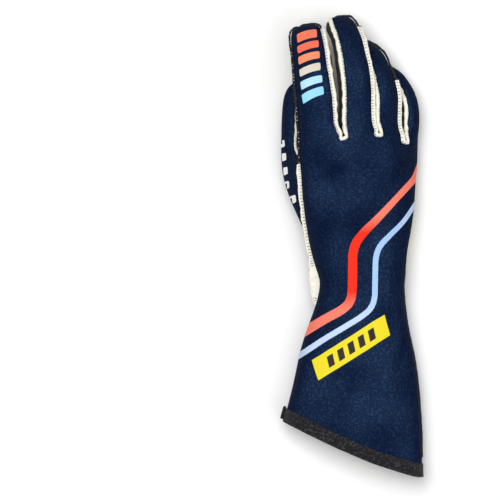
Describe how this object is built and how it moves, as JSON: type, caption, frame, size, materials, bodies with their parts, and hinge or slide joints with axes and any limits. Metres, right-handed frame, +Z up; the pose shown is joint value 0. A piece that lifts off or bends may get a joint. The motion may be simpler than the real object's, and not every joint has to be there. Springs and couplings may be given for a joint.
{
  "type": "racing glove",
  "caption": "Gauntlet racing glove in navy cloth with a dark suede palm, seams turned outwards, a gathered wrist and a slanted taped hem, lying palm down.",
  "frame": {"origin": "middle of the bounding box in X and Y, on the table that the glove lies on", "axes": "+Y towards the fingertips, +X towards the little finger, +Z up out of the back of the hand"},
  "size_m": [0.119, 0.3816, 0.0698],
  "materials": {
    "navy_cloth": "matt",
    "black_suede": "matt",
    "cream_lining": "matt",
    "hem_tape": "matt",
    "yellow_twill": "matt",
    "white_satin": "satin"
  },
  "bodies": {
    "root": {"back_panel": "navy_cloth", "palm_panel": "black_suede", "sidewall_1": "black_suede", "sidewall_2": "black_suede", "sidewall_3": "black_suede", "thumb_panel": "navy_cloth", "thumb_inner": "black_suede", "palm_cuff": "navy_cloth", "seam_edge_1": "cream_lining", "seam_edge_2": "cream_lining", "seam_edge_3": "cream_lining", "radial_seam_edge": "cream_lining", "thumb_seam_edge": "cream_lining", "hem_tab": "hem_tape", "hem_binding": "hem_tape", "cuff_patch": "yellow_twill", "palm_label": "white_satin"}
  },
  "joints": []
}
